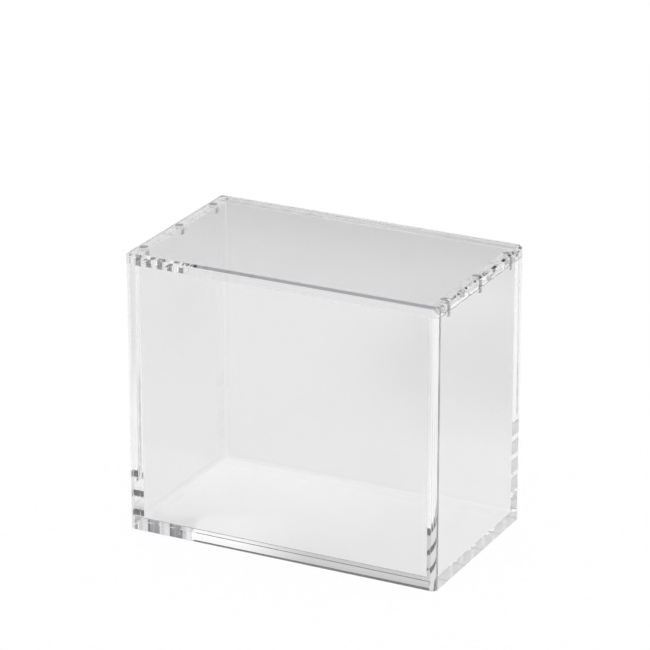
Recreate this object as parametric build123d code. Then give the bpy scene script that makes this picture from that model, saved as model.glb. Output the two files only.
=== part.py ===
from build123d import *
import os

# Clear acrylic display case for one booster box, with a loose lid held by magnet pairs.
# Millimetres, +Z up. The origin is the centre of the underside, the long side runs
# along X and the front face looks towards -Y.

# The space inside, between the glued faces
cavity_length = 146.0
cavity_depth = 81.0
cavity_height = 127.0

# Sheet thicknesses
wall_thickness = 6.0
base_thickness = 5.0
lid_thickness = 5.0

# Machined and polished edges
corner_radius = 3.0
polish_radius = 0.4

# Disc magnets: each one in the lid lies above one in a side panel
magnet_height = 3.0
magnet_bevel = 0.25
magnet_inset = 13.0

# Blind pockets for the magnets, centred in the thickness of the side panels
pocket_side_wall = 0.95
pocket_clearance = 0.05
pocket_bevel = 0.2
magnet_recess = 0.1

# Sizes that follow
outer_length = cavity_length + 2 * wall_thickness
outer_depth = cavity_depth + 2 * wall_thickness
wall_top = base_thickness + cavity_height
pocket_radius = wall_thickness / 2 - pocket_side_wall
pocket_depth = magnet_height + magnet_recess
magnet_radius = pocket_radius - pocket_clearance
magnet_row_x = (outer_length - wall_thickness) / 2
magnet_row_y = outer_depth / 2 - magnet_inset

# Which way each side lies along X, and each face or magnet place along Y
sides = {"left": -1, "right": 1}
faces = {"front": -1, "back": 1}
places = {"front": -1, "middle": 0, "back": 1}

standing = (Align.CENTER, Align.CENTER, Align.MIN)


def outermost_first(edges, axis, direction):
    """The edges in order along an axis, starting from the outside of the case."""
    return edges.sort_by(axis, reverse=direction > 0)


def footprint_plate(thickness):
    """A plate with the whole footprint of the case, its underside at Z = 0."""
    outline = RectangleRounded(outer_length, outer_depth, corner_radius)
    return extrude(outline, thickness)


def base_panel():
    """The floor of the case, with its lower rim polished round."""
    plate = footprint_plate(base_thickness)
    lower_rim = plate.edges().group_by(Axis.Z)[0]
    return fillet(lower_rim, polish_radius)


def long_panel(direction):
    """The front or back panel, which stands between the two side panels."""
    centre_y = direction * (outer_depth - wall_thickness) / 2
    plate = Box(cavity_length, wall_thickness, cavity_height, align=standing)
    upper_rim = outermost_first(plate.edges().group_by(Axis.Z)[-1], Axis.Y, direction)
    plate = fillet(upper_rim[0], polish_radius)
    return Pos(0, centre_y, base_thickness) * plate


def pocket_cutter():
    """The room that one magnet pocket takes, from its mouth at Z = 0 down."""
    bore = Pos(0, 0, -pocket_depth) * Cylinder(pocket_radius, pocket_depth, align=standing)
    mouth = Pos(0, 0, -pocket_bevel) * Cone(
        pocket_radius, pocket_radius + pocket_bevel, pocket_bevel, align=standing
    )
    return bore + mouth


def side_panel(direction):
    """A side panel over the full depth, with its outer corners round and its pockets on top."""
    plate = Box(wall_thickness, outer_depth, cavity_height, align=standing)
    corners = outermost_first(plate.edges().filter_by(Axis.Z), Axis.X, direction)
    plate = fillet(corners[:2], corner_radius)
    upper_rim = outermost_first(plate.edges().group_by(Axis.Z)[-1], Axis.X, direction)
    plate = fillet(upper_rim[:-1], polish_radius)
    for place in places.values():
        plate -= Pos(0, place * magnet_row_y, cavity_height) * pocket_cutter()
    return Pos(direction * magnet_row_x, 0, base_thickness) * plate


def lid_panel():
    """The loose lid, polished round at both rims, with its pockets in the underside."""
    plate = footprint_plate(lid_thickness)
    levels = plate.edges().group_by(Axis.Z)
    plate = fillet(levels[0] + levels[-1], polish_radius)
    for side in sides.values():
        for place in places.values():
            spot = Pos(side * magnet_row_x, place * magnet_row_y, 0)
            plate -= spot * Rot(180, 0, 0) * pocket_cutter()
    return Pos(0, 0, wall_top) * plate


def disc_magnet(side, place, lower_face):
    """One disc magnet with bevelled rims, standing at its lower face."""
    disc = Cylinder(magnet_radius, magnet_height, align=standing)
    rims = disc.edges().filter_by(GeomType.CIRCLE)
    disc = chamfer(rims, magnet_bevel)
    return Pos(side * magnet_row_x, place * magnet_row_y, lower_face) * disc


def build_case():
    """Every piece of the case under its own name."""
    pieces = {"base_panel": base_panel(), "lid_panel": lid_panel()}
    for name, direction in faces.items():
        pieces[f"{name}_panel"] = long_panel(direction)
    for name, direction in sides.items():
        pieces[f"{name}_panel"] = side_panel(direction)
        for place_name, place in places.items():
            spot = f"{name}_{place_name}"
            wall_seat = wall_top - pocket_depth
            lid_seat = wall_top + magnet_recess
            pieces[f"wall_magnet_{spot}"] = disc_magnet(direction, place, wall_seat)
            pieces[f"lid_magnet_{spot}"] = disc_magnet(direction, place, lid_seat)
    return pieces


os.makedirs("parts", exist_ok=True)
for piece_name, piece in build_case().items():
    export_step(piece, f"parts/{piece_name}.step")
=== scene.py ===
import math

import bmesh
import bpy
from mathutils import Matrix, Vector


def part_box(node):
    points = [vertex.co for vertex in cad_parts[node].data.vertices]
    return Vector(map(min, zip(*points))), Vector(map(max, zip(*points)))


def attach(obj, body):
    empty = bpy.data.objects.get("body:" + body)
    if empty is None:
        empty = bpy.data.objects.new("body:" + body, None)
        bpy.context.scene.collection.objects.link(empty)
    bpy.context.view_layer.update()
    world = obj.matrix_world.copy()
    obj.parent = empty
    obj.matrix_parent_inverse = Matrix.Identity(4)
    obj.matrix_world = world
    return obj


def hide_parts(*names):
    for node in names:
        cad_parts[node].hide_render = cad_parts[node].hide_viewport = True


# Clear acrylic display case for one booster box: six polished panels and twelve disc magnets.
# Metres, +Z up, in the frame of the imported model.

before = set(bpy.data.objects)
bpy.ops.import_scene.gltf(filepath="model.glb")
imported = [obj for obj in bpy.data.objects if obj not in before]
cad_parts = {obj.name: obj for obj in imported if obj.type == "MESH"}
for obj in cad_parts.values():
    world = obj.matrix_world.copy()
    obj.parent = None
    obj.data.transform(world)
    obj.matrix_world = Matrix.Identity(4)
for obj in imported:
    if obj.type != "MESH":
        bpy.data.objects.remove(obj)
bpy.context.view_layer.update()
mm = 0.001
print("frame loaded:", len(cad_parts), "nodes")

# sizes read from the frame: inner is the space inside the case, outer its outside
baseLow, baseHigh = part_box("base_panel")
lidLow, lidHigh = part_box("lid_panel")
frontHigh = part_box("front_panel")[1]
innerX, innerY = frontHigh.x, -frontHigh.y
outerX, outerY = baseHigh.x, baseHigh.y
wallTop = frontHigh.z
magnetNodes = [name for name in sorted(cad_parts) if "magnet" in name]


# plain steps in object and edit mode

def deselectAll():
    if bpy.context.mode != 'OBJECT':
        bpy.ops.object.mode_set(mode='OBJECT')
    bpy.ops.object.select_all(action='DESELECT')


def makeActive(piece):
    deselectAll()
    piece.select_set(True)
    bpy.context.view_layer.objects.active = piece


def applyPlace():
    bpy.ops.object.transform_apply(location=True, rotation=True, scale=True)


def addBlock(name, low, high):
    deselectAll()
    bpy.ops.mesh.primitive_cube_add(size=1, location=(low + high) / 2)
    block = bpy.context.active_object
    block.name = name
    block.data.name = name
    block.scale = high - low
    applyPlace()
    return block


sameWithin = 0.02 * mm  # two heights or places this close count as one
facing = 0.9  # a face looks along an axis where its normal is longer than this


def near(a, b):
    return abs(a - b) < sameWithin


def isUpright(along):
    return abs(along.z) > mm


def isLevel(along):
    return near(along.z, 0)


def pickEdges(piece, test):
    # the test gets an edge's middle and the vector from its start to its end
    makeActive(piece)
    bpy.ops.object.mode_set(mode='EDIT')
    bpy.ops.mesh.select_mode(type='EDGE')
    bpy.ops.mesh.select_all(action='DESELECT')
    mesh = bmesh.from_edit_mesh(piece.data)
    for edge in mesh.edges:
        start, end = edge.verts[0].co, edge.verts[1].co
        if test((start + end) / 2, end - start):
            edge.select_set(True)
    bmesh.update_edit_mesh(piece.data)


def roundEdges(piece, test, radius, steps):
    # a single step makes a flat bevel
    pickEdges(piece, test)
    bpy.ops.mesh.bevel(offset=radius, segments=steps, profile=0.5, affect='EDGES', clamp_overlap=False)
    bpy.ops.object.mode_set(mode='OBJECT')


def scoreAcross(piece, place, direction):
    makeActive(piece)
    bpy.ops.object.mode_set(mode='EDIT')
    bpy.ops.mesh.select_all(action='SELECT')
    bpy.ops.mesh.bisect(plane_co=place, plane_no=direction)
    bpy.ops.object.mode_set(mode='OBJECT')


shading = {
    "square": 0.99999,  # longest part of a square face's normal
    "evenMiss": 0.001,  # how far an even bevel's two parts may differ
    "thirdPart": 0.0001,  # and how small its third part is
    "together": 0.78,  # faces whose normals agree at least this much shade as one surface
}


def isFlatFace(face):
    # square faces and even bevels
    small, middle, large = sorted(abs(part) for part in face.normal)
    isEven = small < shading["thirdPart"] and large - middle < shading["evenMiss"]
    return large > shading["square"] or isEven


def shadeFlatFacesTrue(piece):
    # flat faces shade exactly flat, and the rounds between them turn smoothly from one to the next
    makeActive(piece)
    bpy.ops.object.shade_smooth()
    mesh = piece.data
    around = [[] for _ in mesh.vertices]
    for face in mesh.polygons:
        for corner in face.vertices:
            around[corner].append(face)
    normals = []
    for face in mesh.polygons:
        faceIsFlat = isFlatFace(face)
        for corner in face.vertices:
            beside = [other for other in around[corner]
                      if other.normal.dot(face.normal) > shading["together"]]
            flat = [other for other in beside if isFlatFace(other)]
            if faceIsFlat:
                normals.append(face.normal.copy())
            elif flat:
                nearest = max(flat, key=lambda other: other.normal.dot(face.normal))
                normals.append(nearest.normal.copy())
            else:
                total = Vector((0, 0, 0))
                for other in beside:
                    total += other.normal
                normals.append(total.normalized())
    mesh.normals_split_custom_set(normals)


# plain steps in a node tree; a value is a number, a colour or another node's output

def feed(tree, socket, value):
    if isinstance(value, (int, float, tuple)):
        socket.default_value = value
    else:
        tree.links.new(value, socket)


def calculate(tree, operation, *values):
    step = tree.nodes.new("ShaderNodeMath")
    step.operation = operation
    for socket, value in zip(step.inputs, values):
        feed(tree, socket, value)
    return step.outputs[0]


def product(tree, first, *others):
    for other in others:
        first = calculate(tree, 'MULTIPLY', first, other)
    return first


def smoothStep(tree, value, start, end):
    # 0 at start and 1 at end, whichever of them is the larger
    step = tree.nodes.new("ShaderNodeMapRange")
    step.interpolation_type = 'SMOOTHSTEP'
    falls = start > end
    feed(tree, step.inputs["Value"], value)
    step.inputs["From Min"].default_value = end if falls else start
    step.inputs["From Max"].default_value = start if falls else end
    step.inputs["To Min"].default_value = 1 if falls else 0
    step.inputs["To Max"].default_value = 0 if falls else 1
    return step.outputs[0]


def spread(tree, mask, low, high):
    # a mask turned into values from low to high
    step = tree.nodes.new("ShaderNodeMapRange")
    feed(tree, step.inputs["Value"], mask)
    step.inputs["To Min"].default_value = low
    step.inputs["To Max"].default_value = high
    return step.outputs[0]


def mixColours(tree, mask, first, second):
    mix = tree.nodes.new("ShaderNodeMix")
    mix.data_type = 'RGBA'
    feed(tree, mix.inputs["Factor"], mask)
    feed(tree, mix.inputs[6], first)
    feed(tree, mix.inputs[7], second)
    return mix.outputs[2]


def distanceFrom(tree, vector, place):
    apart = tree.nodes.new("ShaderNodeVectorMath")
    apart.operation = 'DISTANCE'
    apart.inputs[1].default_value = place
    tree.links.new(vector, apart.inputs[0])
    return apart.outputs["Value"]


def addNoise(tree, vector, scale, detail, warp=0):
    noise = tree.nodes.new("ShaderNodeTexNoise")
    noise.inputs["Detail"].default_value = detail
    noise.inputs["Distortion"].default_value = warp
    tree.links.new(vector, noise.inputs["Vector"])
    tree.links.new(scale, noise.inputs["Scale"])
    return noise.outputs[0]


def bouncedRay(tree, lightPath):
    # 1 for what glass and metal see, 0 for what the camera sees and what lights dull surfaces
    return calculate(tree, 'MAXIMUM', lightPath.outputs["Is Glossy Ray"],
                     lightPath.outputs["Is Transmission Ray"])


def newMaterial(name):
    material = bpy.data.materials.new(name)
    material.use_nodes = True
    return material, material.node_tree


# materials

handlingLook = {
    "hairlines": ((0.5, 0.004), (1.9, 0.003)),  # how each set is turned in radians, and its width
    "turnY": 0.7,  # share of that turn about the second and third axis
    "turnZ": 1.3,
    "broken": (0.56, 0.66),  # the noise between these cuts the hairlines into short ones
    "smudge": (0.52, 0.72),
    "smudgeWarp": 0.6,
}


def makeHandlingMarks():
    # hairline scratches and soft smudges, for any polished surface
    group = bpy.data.node_groups.new("handlingMarks", 'ShaderNodeTree')
    group.interface.new_socket("Vector", in_out='INPUT', socket_type='NodeSocketVector')
    for name in ("Scratch Scale", "Smudge Scale"):
        group.interface.new_socket(name, in_out='INPUT', socket_type='NodeSocketFloat')
    for name in ("Scratches", "Smudges"):
        group.interface.new_socket(name, in_out='OUTPUT', socket_type='NodeSocketFloat')
    start, end = group.nodes.new("NodeGroupInput"), group.nodes.new("NodeGroupOutput")
    vector, scratchScale, smudgeScale = start.outputs[:3]

    lines = []
    for turn, width in handlingLook["hairlines"]:
        turned = group.nodes.new("ShaderNodeVectorRotate")
        turned.rotation_type = 'EULER_XYZ'
        turned.inputs["Rotation"].default_value = (
            turn, handlingLook["turnY"] * turn, handlingLook["turnZ"] * turn)
        group.links.new(vector, turned.inputs["Vector"])
        noise = addNoise(group, turned.outputs[0], scratchScale, detail=1)
        away = calculate(group, 'ABSOLUTE', calculate(group, 'SUBTRACT', noise, 0.5))  # from its middle
        lines.append(smoothStep(group, away, width, 0.0))
    patches = addNoise(group, vector, scratchScale, detail=2)
    broken = smoothStep(group, patches, *handlingLook["broken"])
    both = calculate(group, 'MAXIMUM', lines[0], lines[1])
    group.links.new(product(group, both, broken), end.inputs["Scratches"])

    smudge = addNoise(group, vector, smudgeScale, detail=3, warp=handlingLook["smudgeWarp"])
    group.links.new(smoothStep(group, smudge, *handlingLook["smudge"]), end.inputs["Smudges"])
    return group


handlingMarks = makeHandlingMarks()


def addMarks(tree, vector, look):
    marks = tree.nodes.new("ShaderNodeGroup")
    marks.node_tree = handlingMarks
    tree.links.new(vector, marks.inputs["Vector"])
    marks.inputs["Scratch Scale"].default_value = look["scratchScale"]
    marks.inputs["Smudge Scale"].default_value = look["smudgeScale"]
    return marks.outputs["Scratches"], marks.outputs["Smudges"]


acrylicLook = {
    "ior": 1.49,
    "shadow": (0.995, 0.996, 0.996, 1),  # light let through at each face on its way to the floor
    "scratchScale": 45,
    "scratchRoughness": 0.09,
    "smudgeScale": 16,
    "smudgeRoughness": 0.012,
    "smudgeClear": 0.985,  # share of the tint left under a smudge
}
# one acrylic in four tints: the lid's darker tint is painted shade, and the lighter edge and base tints are
# painted light
acrylicTints = {  # a tint shows twice through a panel, once at each face
    "wallAcrylic": (0.895, 0.893, 0.896, 1),
    "lidAcrylic": (0.800, 0.790, 0.796, 1),
    "edgeAcrylic": (0.975, 0.97, 0.975, 1),
    "baseAcrylic": (0.98, 0.98, 0.981, 1),
}


def newClearMaterial(name):
    material, tree = newMaterial(name)
    shader = tree.nodes["Principled BSDF"]
    shader.inputs["Transmission Weight"].default_value = 1
    shader.inputs["IOR"].default_value = acrylicLook["ior"]
    return material, tree, shader


def makeAcrylic(name):
    material, tree, shader = newClearMaterial(name)
    tint = acrylicTints[name]
    coordinates = tree.nodes.new("ShaderNodeTexCoord")
    scratches, smudges = addMarks(tree, coordinates.outputs["Object"], acrylicLook)
    dulled = tuple(acrylicLook["smudgeClear"] * part for part in tint[:3]) + (1,)
    tree.links.new(mixColours(tree, smudges, tint, dulled), shader.inputs["Base Color"])
    rough = calculate(tree, 'MAXIMUM', product(tree, smudges, acrylicLook["smudgeRoughness"]),
                      product(tree, scratches, acrylicLook["scratchRoughness"]))
    tree.links.new(rough, shader.inputs["Roughness"])
    # light on its way to dull surfaces passes straight through, so that the shadow stays faint
    lightPath = tree.nodes.new("ShaderNodeLightPath")
    passing = tree.nodes.new("ShaderNodeBsdfTransparent")
    passing.inputs["Color"].default_value = acrylicLook["shadow"]
    mix = tree.nodes.new("ShaderNodeMixShader")
    straight = calculate(tree, 'MAXIMUM', lightPath.outputs["Is Shadow Ray"],
                         lightPath.outputs["Is Diffuse Ray"])
    tree.links.new(straight, mix.inputs[0])
    tree.links.new(shader.outputs[0], mix.inputs[1])
    tree.links.new(passing.outputs[0], mix.inputs[2])
    tree.links.new(mix.outputs[0], tree.nodes["Material Output"].inputs["Surface"])
    return material


# the bead's dark colour is painted shade in the inner corner
beadShadeLook = {"colour": (0.30, 0.30, 0.32, 1), "roughness": 0.15}


def makeBead():
    # the set cement in the inner corner in front, a little cloudy; its dark colour is painted shade for that
    # corner
    material, tree, shader = newClearMaterial("cementBeadShaded")
    shader.inputs["Base Color"].default_value = beadShadeLook["colour"]
    shader.inputs["Roughness"].default_value = beadShadeLook["roughness"]
    return material


def makeWeld():
    # two faces welded with solvent are one piece of acrylic, so nothing shows between them
    material, tree = newMaterial("weldedJoint")
    tree.nodes.remove(tree.nodes["Principled BSDF"])
    clear = tree.nodes.new("ShaderNodeBsdfTransparent")
    tree.links.new(clear.outputs[0], tree.nodes["Material Output"].inputs["Surface"])
    return material


nickelLook = {
    "colour": (0.52, 0.52, 0.53, 1),
    "worn": (0.40, 0.40, 0.41, 1),
    # edge is the colour of a painted shade ring near the disc's rim
    "edge": (0.20, 0.20, 0.22, 1),
    "rimShadeFrom": (0.42, 0.45),  # painted shade ring at the rim: distances from the axis, where 0.5 is the disc's radius
    "rimShadeTo": (0.4995, 0.495),
    "rings": 26,  # turned rings over twice the radius
    "ringRoughness": 0.03,
    "ringHeight": 0.02 * mm,
    "ringStrength": 0.15,
    "clean": 0.16,  # roughness without and under a smudge
    "smudged": 0.30,
    "scratchScale": 400,
    "smudgeScale": 350,
}


def makeNickel():
    material, tree = newMaterial("nickelPlating")
    shader = tree.nodes["Principled BSDF"]
    shader.inputs["Metallic"].default_value = 1
    coordinates = tree.nodes.new("ShaderNodeTexCoord")
    scratches, smudges = addMarks(tree, coordinates.outputs["Object"], nickelLook)
    # the disc's own map has its axis at the centre, so rings are even distances from there
    fromAxis = distanceFrom(tree, coordinates.outputs["UV"], (0.5, 0.5, 0))
    rings = calculate(tree, 'SINE', product(tree, fromAxis, nickelLook["rings"] * 2 * math.pi))
    wear = calculate(tree, 'MAXIMUM', smudges, scratches)
    plate = mixColours(tree, wear, nickelLook["colour"], nickelLook["worn"])
    # a dark ring painted near the rim, painted shade for the dark edge of a polished disc
    edge = product(tree, smoothStep(tree, fromAxis, *nickelLook["rimShadeFrom"]),
                   smoothStep(tree, fromAxis, *nickelLook["rimShadeTo"]))
    tree.links.new(mixColours(tree, edge, plate, nickelLook["edge"]), shader.inputs["Base Color"])
    rough = calculate(tree, 'ADD', spread(tree, smudges, nickelLook["clean"], nickelLook["smudged"]),
                      product(tree, rings, nickelLook["ringRoughness"]))
    tree.links.new(rough, shader.inputs["Roughness"])
    bump = tree.nodes.new("ShaderNodeBump")
    bump.inputs["Strength"].default_value = nickelLook["ringStrength"]
    bump.inputs["Distance"].default_value = nickelLook["ringHeight"]
    tree.links.new(rings, bump.inputs["Height"])
    tree.links.new(bump.outputs[0], shader.inputs["Normal"])
    return material


wallAcrylic = makeAcrylic("wallAcrylic")
lidAcrylic = makeAcrylic("lidAcrylic")
edgeAcrylic = makeAcrylic("edgeAcrylic")
baseAcrylic = makeAcrylic("baseAcrylic")
cementBeadShaded = makeBead()
weld = makeWeld()
nickel = makeNickel()
print("materials made")


def nowhere(middle, normal):
    return False


def finishPanel(piece, node, body, acrylic, isWelded=nowhere, isEdge=nowhere, isBead=nowhere):
    # each test gets a face's middle and normal, and picks the faces for its own material
    for material in (acrylic, weld, edgeAcrylic, cementBeadShaded):
        piece.data.materials.append(material)
    for face in piece.data.polygons:
        for number, test in enumerate((isWelded, isEdge, isBead), start=1):
            if test(face.center, face.normal):
                face.material_index = number
    shadeFlatFacesTrue(piece)
    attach(piece, body)
    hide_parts(node)


# magnet pockets

pocket = {
    "radius": 2.05 * mm,
    "mouth": 0.2 * mm,
    "depth": 3.12 * mm,
    "facets": 64,
    "over": 0.1 * mm,  # how far the cutter stands out of the sheet
}


def makePocketCutter(mouthPlace, inward):
    # a bored hole with a countersunk mouth; inward is -1 into a wall top, +1 into the lid
    deselectAll()
    length = pocket["depth"] - pocket["mouth"]
    middle = mouthPlace + Vector((0, 0, inward * (pocket["mouth"] + length / 2)))
    bpy.ops.mesh.primitive_cylinder_add(
        vertices=pocket["facets"], radius=pocket["radius"], depth=length, location=middle)
    cutter = bpy.context.active_object
    applyPlace()
    bpy.ops.object.mode_set(mode='EDIT')
    bpy.ops.mesh.select_mode(type='FACE')
    bpy.ops.mesh.select_all(action='DESELECT')
    mesh = bmesh.from_edit_mesh(cutter.data)
    for face in mesh.faces:
        if face.normal.z * inward < -facing:
            face.select_set(True)
    bmesh.update_edit_mesh(cutter.data)
    flare = pocket["mouth"] + pocket["over"]
    bpy.ops.mesh.extrude_region_move(TRANSFORM_OT_translate={"value": (0, 0, -inward * flare)})
    wide = (pocket["radius"] + flare) / pocket["radius"]
    centre = mouthPlace + Vector((0, 0, -inward * pocket["over"]))
    bpy.ops.transform.resize(value=(wide, wide, 1), center_override=centre)
    bpy.ops.mesh.select_all(action='SELECT')
    bpy.ops.mesh.normals_make_consistent(inside=False)
    bpy.ops.object.mode_set(mode='OBJECT')
    return cutter


def borePockets(piece, magnetKind, mouthHeight, inward):
    for magnet in magnetNodes:
        if not magnet.startswith(magnetKind):
            continue
        low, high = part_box(magnet)
        place = Vector(((low.x + high.x) / 2, (low.y + high.y) / 2, mouthHeight))
        cutter = makePocketCutter(place, inward)
        makeActive(piece)
        boring = piece.modifiers.new("boring", 'BOOLEAN')
        boring.operation = 'DIFFERENCE'
        boring.solver = 'EXACT'
        boring.object = cutter
        bpy.ops.object.modifier_apply(modifier=boring.name)
        bpy.data.objects.remove(cutter, do_unlink=True)


# bevels along the glued edges at the front (-1) and back (1), fine lines at the joints
seam = {-1: 0.2 * mm, 1: 0.05 * mm}

baseShape = {
    "corner": 3 * mm,
    "cornerSteps": 12,
    "rim": 0.4 * mm,
    "rimSteps": 4,
    "bead": 0.3 * mm,  # of cement, along the front wall's inner foot
}


def makeBase():
    base = addBlock("caseBase", baseLow, baseHigh)
    beadFront = -innerY - baseShape["bead"]
    roundEdges(base, lambda middle, along: isUpright(along), baseShape["corner"], baseShape["cornerSteps"])
    roundEdges(base, lambda middle, along: near(middle.z, baseLow.z) and isLevel(along),
               baseShape["rim"], baseShape["rimSteps"])
    for side in (-1, 1):
        roundEdges(base, lambda middle, along: near(middle.z, baseHigh.z)
                   and near(middle.y, side * outerY), seam[side], 1)
    for side in (-1, 1):  # scored where the walls stand, so that the welded strips are faces of their own
        scoreAcross(base, (side * innerX, 0, 0), (1, 0, 0))
        scoreAcross(base, (0, side * innerY, 0), (0, 1, 0))
    scoreAcross(base, (0, beadFront, 0), (0, 1, 0))

    def isWelded(middle, normal):
        isUnderWall = abs(middle.x) > innerX or middle.y > innerY or middle.y < beadFront
        return normal.z > facing and isUnderWall

    def isBead(middle, normal):
        return normal.z > facing and abs(middle.x) < innerX and beadFront < middle.y < -innerY

    finishPanel(base, "base_panel", "case", baseAcrylic, isWelded, isBead=isBead)


longWallShape = {"rim": 0.4 * mm, "rimSteps": 4}


def makeLongWall(name, node, side):
    # the front (-1) or back (1) wall, between the side walls
    low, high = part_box(node)
    wall = addBlock(name, low, high)
    bead = baseShape["bead"]
    roundEdges(wall, lambda middle, along: near(middle.z, wallTop) and near(middle.y, side * outerY),
               longWallShape["rim"], longWallShape["rimSteps"])
    if side < 0:
        roundEdges(wall, lambda middle, along: near(middle.z, low.z) and near(middle.y, side * innerY),
                   bead, 1)
    roundEdges(wall, lambda middle, along: near(middle.y, side * outerY)
               and (near(middle.z, low.z) or isUpright(along)), seam[side], 1)

    def isWelded(middle, normal):
        return normal.z < -facing or abs(normal.x) > facing

    def isBead(middle, normal):
        return near(middle.z, low.z + bead / 2) and near(middle.y, side * (innerY + bead / 2))

    finishPanel(wall, node, "case", wallAcrylic, isWelded, isBead=isBead)


sideWallShape = {
    "corner": 3 * mm,
    "cornerSteps": 12,
    "rim": 0.4 * mm,
    "rimSteps": 4,
    "slant": (0.01, 0.999),  # both parts of a corner face's normal lie between these
    "cornerBand": 2 * mm,  # and it lies at least this far outside the space inside
}


def makeSideWall(name, node, side):
    # the left (-1) or right (1) wall, over the full depth
    low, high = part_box(node)
    wall = addBlock(name, low, high)
    roundEdges(wall, lambda middle, along: isUpright(along) and near(middle.x, side * outerX),
               sideWallShape["corner"], sideWallShape["cornerSteps"])
    roundEdges(wall, lambda middle, along: near(middle.z, wallTop) and not near(middle.x, side * innerX),
               sideWallShape["rim"], sideWallShape["rimSteps"])
    for end in (-1, 1):
        roundEdges(wall, lambda middle, along: isUpright(along) and near(middle.x, side * innerX)
                   and near(middle.y, end * outerY), seam[end], 1)
    for end in (-1, 1):
        scoreAcross(wall, (0, end * innerY, 0), (0, 1, 0))
    borePockets(wall, "wall_magnet_" + ("left" if side < 0 else "right"), wallTop, -1)

    def isWelded(middle, normal):
        isFoot = normal.z < -facing and near(middle.z, low.z)
        isAtLongWall = normal.x * side < -facing and near(middle.x, side * innerX) and abs(middle.y) > innerY
        return isFoot or isAtLongWall

    def isEdge(middle, normal):
        least, most = sideWallShape["slant"]
        isSlanted = least < abs(normal.x) < most and least < abs(normal.y) < most
        return (isSlanted and abs(middle.x) > outerX - 2 * sideWallShape["corner"]
                and abs(middle.y) > innerY + sideWallShape["cornerBand"])

    finishPanel(wall, node, "case", wallAcrylic, isWelded, isEdge)


lidShape = {
    "corner": 3 * mm,
    "cornerSteps": 12,
    "topRim": 1.1 * mm,
    "topRimSteps": 1,
    "lowRim": 0.08 * mm,
    "lowRimSteps": 2,
    "airGap": 0.03 * mm,  # a film of air under the lid, which lies loose
    "edgeBand": 5 * mm,  # the edge faces lie at least this far outside the space inside
}


def makeLid():
    low = lidLow + Vector((0, 0, lidShape["airGap"]))
    lid = addBlock("caseLid", low, lidHigh)
    roundEdges(lid, lambda middle, along: isUpright(along), lidShape["corner"], lidShape["cornerSteps"])
    roundEdges(lid, lambda middle, along: isLevel(along) and near(middle.z, lidHigh.z),
               lidShape["topRim"], lidShape["topRimSteps"])
    roundEdges(lid, lambda middle, along: isLevel(along) and near(middle.z, low.z),
               lidShape["lowRim"], lidShape["lowRimSteps"])
    borePockets(lid, "lid_magnet", lidLow.z, 1)

    def isEdge(middle, normal):
        outside = max(abs(middle.x) - innerX, abs(middle.y) - innerY)
        return abs(normal.z) < facing and outside > lidShape["edgeBand"]

    finishPanel(lid, "lid_panel", "lid", lidAcrylic, isEdge=isEdge)


magnetShape = {"facets": 48, "rim": 0.25 * mm, "rimSteps": 4}


def makeMagnets():
    # one disc, with its map centred on its axis, and a copy of it for every node
    low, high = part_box(magnetNodes[0])
    radius = (high.x - low.x) / 2
    deselectAll()
    bpy.ops.mesh.primitive_cylinder_add(
        vertices=magnetShape["facets"], radius=radius, depth=high.z - low.z)
    first = bpy.context.active_object
    roundEdges(first, lambda middle, along: isLevel(along), magnetShape["rim"], magnetShape["rimSteps"])
    first.data.materials.append(nickel)
    mapped = first.data.uv_layers.active.data
    for corner in first.data.loops:
        point = first.data.vertices[corner.vertex_index].co
        mapped[corner.index].uv = (0.5 + point.x / radius / 2, 0.5 + point.y / radius / 2)
    shadeFlatFacesTrue(first)
    for node in magnetNodes:
        low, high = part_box(node)
        magnet = bpy.data.objects.new("disc_" + node, first.data.copy())
        bpy.context.scene.collection.objects.link(magnet)
        makeActive(magnet)
        magnet.location = (low + high) / 2
        applyPlace()
        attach(magnet, "lid" if node.startswith("lid") else "case")
        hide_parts(node)
    bpy.data.objects.remove(first, do_unlink=True)


makeBase()
makeLongWall("frontWall", "front_panel", -1)
makeLongWall("backWall", "back_panel", 1)
makeSideWall("leftWall", "left_panel", -1)
makeSideWall("rightWall", "right_panel", 1)
print("box made")
makeLid()
makeMagnets()
print("lid and magnets made")


# camera and studio

cameraSetup = {
    "azimuth": 26.744,  # degrees from the front face towards the right side
    "elevation": 20.921,
    "distance": 1.70088,
    "lens": 204.73,
    "sensor": 36,
    "farthest": 100,
    "target": (0.000033, 0, 0.099668),
}


def placeCamera():
    around = math.radians(cameraSetup["azimuth"])
    above = math.radians(cameraSetup["elevation"])
    back = Vector((math.sin(around) * math.cos(above), -math.cos(around) * math.cos(above), math.sin(above)))
    data = bpy.data.cameras.new("camera")
    data.lens = cameraSetup["lens"]
    data.sensor_width = cameraSetup["sensor"]
    data.clip_end = cameraSetup["farthest"]
    camera = bpy.data.objects.new("camera", data)
    bpy.context.scene.collection.objects.link(camera)
    camera.location = Vector(cameraSetup["target"]) + back * cameraSetup["distance"]
    camera.rotation_euler = (-back).to_track_quat('-Z', 'Y').to_euler()
    bpy.context.scene.camera = camera


# a pair says where a place on the floor begins and where it is full; behind is counted from the
# back of the case, across from its middle to both sides, right from its middle to the right
floorLook = {
    "size": 12,
    "drop": 0.02 * mm,
    "colour": 0.93,
    "lift": 0.07,  # a little light of its own, so that the floor ends up white
    "contactShadowBehind": (-0.8 * mm, 0.7 * mm),  # painted contact shadow: a dark line right behind the base
    "contactShadowEndBehind": (8.0 * mm, 6.5 * mm),
    "contactShadowAcross": (outerX + 1 * mm, outerX - 2 * mm),
    "contactShadowTone": 0.16,
    "shadeBehind": (0.24, 0.36),  # painted shade: far behind the case the floor is a little darker
    "shadeTone": 0.80,
    "patchPlace": (0.03, 0.25, 0),  # and in one soft patch behind right
    "patchAround": (0.15, 0.05),
    "patchTone": 0.84,
    "glowBehind": (-95 * mm, -8 * mm),  # painted light: the floor under the case is brighter, for light gathered by the walls
    "glowEndBehind": (0, -1 * mm),
    "glowAcross": (outerX, outerX - 4 * mm),
    "glowRight": (90 * mm, -50 * mm),
    "glowTone": 1.14,
}


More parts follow.
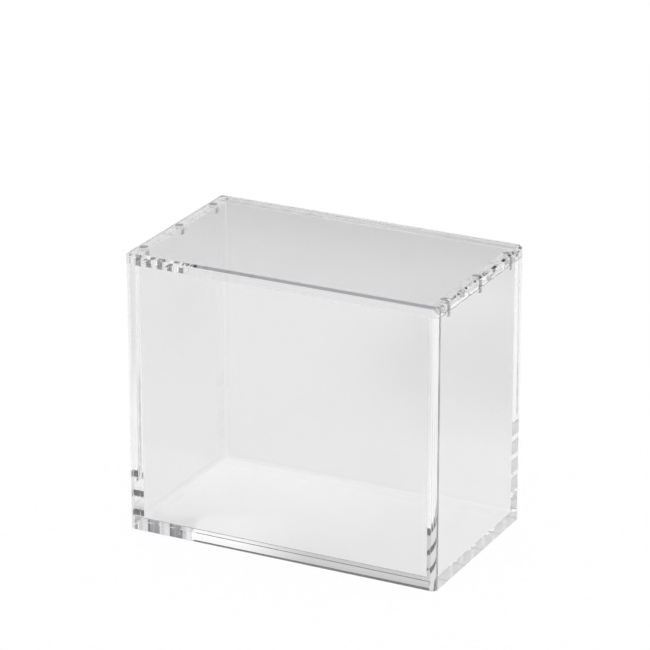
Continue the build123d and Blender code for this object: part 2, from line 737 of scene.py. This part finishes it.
def makeFloor():
    deselectAll()
    bpy.ops.mesh.primitive_plane_add(size=floorLook["size"], location=(0, 0, -floorLook["drop"]))
    floor = bpy.context.active_object
    floor.name = "studioFloor"
    applyPlace()
    material, tree = newMaterial("paleFloor")
    shader = tree.nodes["Principled BSDF"]
    shader.inputs["Roughness"].default_value = 1
    shader.inputs["Specular IOR Level"].default_value = 0
    shader.inputs["Emission Strength"].default_value = floorLook["lift"]
    coordinates = tree.nodes.new("ShaderNodeTexCoord")
    split = tree.nodes.new("ShaderNodeSeparateXYZ")
    tree.links.new(coordinates.outputs["Object"], split.inputs[0])
    right = split.outputs["X"]
    across = calculate(tree, 'ABSOLUTE', right)
    behind = calculate(tree, 'SUBTRACT', split.outputs["Y"], outerY)
    fromPatch = distanceFrom(tree, coordinates.outputs["Object"], floorLook["patchPlace"])

    # the painted contact shadow shows only in light that has run along inside the glass, never straight
    # through a wall
    lightPath = tree.nodes.new("ShaderNodeLightPath")
    hasRunInside = calculate(tree, 'MINIMUM', lightPath.outputs["Glossy Depth"], 1)
    contactShadow = product(tree, smoothStep(tree, behind, *floorLook["contactShadowBehind"]),
                      smoothStep(tree, behind, *floorLook["contactShadowEndBehind"]),
                      smoothStep(tree, across, *floorLook["contactShadowAcross"]), hasRunInside)
    shade = smoothStep(tree, behind, *floorLook["shadeBehind"])
    patch = smoothStep(tree, fromPatch, *floorLook["patchAround"])
    glow = product(tree, smoothStep(tree, behind, *floorLook["glowBehind"]),
                   smoothStep(tree, behind, *floorLook["glowEndBehind"]),
                   smoothStep(tree, across, *floorLook["glowAcross"]),
                   smoothStep(tree, right, *floorLook["glowRight"]))
    tone = product(tree, spread(tree, contactShadow, 1, floorLook["contactShadowTone"]),
                   spread(tree, shade, 1, floorLook["shadeTone"]),
                   spread(tree, patch, 1, floorLook["patchTone"]),
                   spread(tree, glow, 1, floorLook["glowTone"]))

    # the camera sees a plain white floor; glass and metal see it with its painted shade and painted light
    change = product(tree, bouncedRay(tree, lightPath), calculate(tree, 'SUBTRACT', tone, 1))
    seen = calculate(tree, 'ADD', 1, change)
    tree.links.new(product(tree, seen, floorLook["colour"]), shader.inputs["Base Color"])
    tree.links.new(seen, shader.inputs["Emission Color"])
    floor.data.materials.append(material)


# brightness of the soft studio light on each side, as degrees above the floor and tone
studioLight = {
    "behindLeft": [(0, 0.95), (15, 0.85), (18.5, 0.72), (20.2, 0.78), (22, 0.76), (23.8, 0.64), (26.5, 0.56),
                   (34, 0.42), (50, 0.36), (53, 0.03), (62, 0.03), (70, 0.6), (90, 0.75)],
    "behindRight": [(0, 0.95), (15, 0.85), (19, 0.80), (22, 0.90), (23.7, 0.95), (24.0, 0.20), (27, 0.25),
                    (31, 0.80), (50, 0.75), (90, 0.75)],
    "straightBehind": [(0, 0.95), (15, 0.85), (19, 0.76), (22, 0.76), (23.7, 0.74), (24.2, 0.88),
                       (27, 0.82), (90, 0.75)],
    "farLeft": [(0, 0.62), (18, 0.60), (20, 0.55), (22, 0.68), (23.3, 0.80), (25, 0.76), (28, 0.62),
                (90, 0.60)],
    "frontLeft": [(0, 0.60), (15, 0.63), (18.5, 0.80), (20, 0.82), (22, 0.74), (23.2, 0.70), (26, 0.68),
                  (28, 0.45), (45, 0.38), (60, 0.45), (90, 0.75)],
    "frontRight": [(0, 0.80), (15, 0.81), (18.5, 0.94), (20.3, 0.90), (21.2, 0.40), (22.4, 0.42),
                   (23.5, 0.62), (30, 0.68), (50, 0.84), (90, 0.75)],
}
studioSides = {
    "toBack": (-0.15, 0.15),  # parts of a direction over which one side turns into the other
    "toRight": (-0.1, 0.1),
    "white": (1, 1, 1, 1),  # what the camera sees, and what lights the floor
    "shadeTint": (0.86, 0.88, 1.0),  # the darkest places lean to violet blue
    "tintBelow": 0.6,  # tones under this take that tint, more so the darker they are
}
# the backdrop stands straight behind; its numbers to the side are tangents of the angle, right positive
backdrop = {
    "edge": 0.5547,
    "edgeBlur": 0.0015,
    "leanFrom": 24.15,  # its edges slant: at this many degrees up they are at that tangent
    "lean": 0.0182,  # and with each degree they move out by this
    "belowTop": (34, 30),  # degrees up
    "fromLeft": (-0.44, -0.40),
    "farLeft": (-0.56, -0.61),
    "bandLow": (23.8, 23.95),  # the height, in degrees up, of its bright edge and the dark gap beyond
    "bandHigh": (30, 27),
    "brightFrom": (-0.507, -0.542),
    "bright": (1.04, 1.04, 1.05, 1),
    "gapTo": (-0.605, -0.598),
    "gap": (0.17, 0.17, 0.20, 1),
    "leastAhead": 0.01,  # keeps the tangent finite beside and in front of the case
}


overhead = 90  # degrees up


def lightRamp(tree, elevation, stops):
    ramp = tree.nodes.new("ShaderNodeValToRGB")
    ramp.color_ramp.interpolation = 'LINEAR'
    while len(ramp.color_ramp.elements) > 1:
        ramp.color_ramp.elements.remove(ramp.color_ramp.elements[0])
    for number, (degrees, tone) in enumerate(stops):
        place = degrees / overhead
        stop = ramp.color_ramp.elements[0] if number == 0 else ramp.color_ramp.elements.new(place)
        stop.position = place
        dark = max(0.0, 1 - tone / studioSides["tintBelow"])
        stop.color = tuple(tone * (1 - dark + dark * part) for part in studioSides["shadeTint"]) + (1,)
    tree.links.new(calculate(tree, 'DIVIDE', elevation, overhead), ramp.inputs[0])
    return ramp.outputs["Color"]


def makeWorld():
    # plain soft white light on the floor; glass and metal see the studio's softer and darker sides
    world = bpy.data.worlds.new("studioLight")
    bpy.context.scene.world = world
    world.use_nodes = True
    tree = world.node_tree
    tree.nodes.clear()
    coordinates = tree.nodes.new("ShaderNodeTexCoord")
    split = tree.nodes.new("ShaderNodeSeparateXYZ")
    tree.links.new(coordinates.outputs["Generated"], split.inputs[0])
    right, back, up = split.outputs
    elevation = product(tree, calculate(tree, 'ARCSINE', up), 180 / math.pi)
    isBack = smoothStep(tree, back, *studioSides["toBack"])
    isRight = smoothStep(tree, right, *studioSides["toRight"])
    aside = calculate(tree, 'DIVIDE', right, calculate(tree, 'MAXIMUM', back, backdrop["leastAhead"]))
    above = calculate(tree, 'SUBTRACT', elevation, backdrop["leanFrom"])

    def lightFrom(side):
        return lightRamp(tree, elevation, studioLight[side])

    def slanted(side):
        # how far to one side, measured along the backdrop's slanted edge
        return calculate(tree, 'SUBTRACT', product(tree, aside, side), product(tree, above, backdrop["lean"]))

    # the backdrop itself, and the place beyond its left edge
    edge, edgeEnd = backdrop["edge"], backdrop["edge"] + backdrop["edgeBlur"]
    belowTop = smoothStep(tree, elevation, *backdrop["belowTop"])
    straight = product(tree, belowTop, smoothStep(tree, aside, *backdrop["fromLeft"]),
                       smoothStep(tree, slanted(1), edge, edge - backdrop["edgeBlur"]))
    farLeft = product(tree, belowTop, smoothStep(tree, aside, *backdrop["farLeft"]))
    # in a low band it ends in a bright edge on the left, with a dark gap beyond it
    leftward = slanted(-1)
    band = product(tree, smoothStep(tree, elevation, *backdrop["bandLow"]),
                   smoothStep(tree, elevation, *backdrop["bandHigh"]))
    gap = product(tree, band, smoothStep(tree, leftward, edge, edgeEnd),
                  smoothStep(tree, aside, *backdrop["gapTo"]))
    bright = product(tree, band, smoothStep(tree, leftward, edgeEnd, edge),
                     smoothStep(tree, aside, *backdrop["brightFrom"]))

    behind = mixColours(tree, isRight, lightFrom("behindLeft"), lightFrom("behindRight"))
    for mask, colour in ((straight, lightFrom("straightBehind")), (farLeft, lightFrom("farLeft")),
                         (gap, backdrop["gap"]), (bright, backdrop["bright"])):
        behind = mixColours(tree, mask, behind, colour)
    inFront = mixColours(tree, isRight, lightFrom("frontLeft"), lightFrom("frontRight"))
    around = mixColours(tree, isBack, inFront, behind)

    bounced = bouncedRay(tree, tree.nodes.new("ShaderNodeLightPath"))
    light = tree.nodes.new("ShaderNodeBackground")
    tree.links.new(mixColours(tree, bounced, studioSides["white"], around), light.inputs["Color"])
    out = tree.nodes.new("ShaderNodeOutputWorld")
    tree.links.new(light.outputs[0], out.inputs[0])


lightBounces = 64  # light runs many times through the plates


def setQuality():
    scene = bpy.context.scene
    scene.view_settings.view_transform = 'Standard'
    scene.cycles.max_bounces = lightBounces
    scene.cycles.transmission_bounces = lightBounces
    scene.cycles.glossy_bounces = lightBounces
    scene.cycles.transparent_max_bounces = lightBounces


placeCamera()
makeFloor()
makeWorld()
setQuality()
print("camera and studio set")
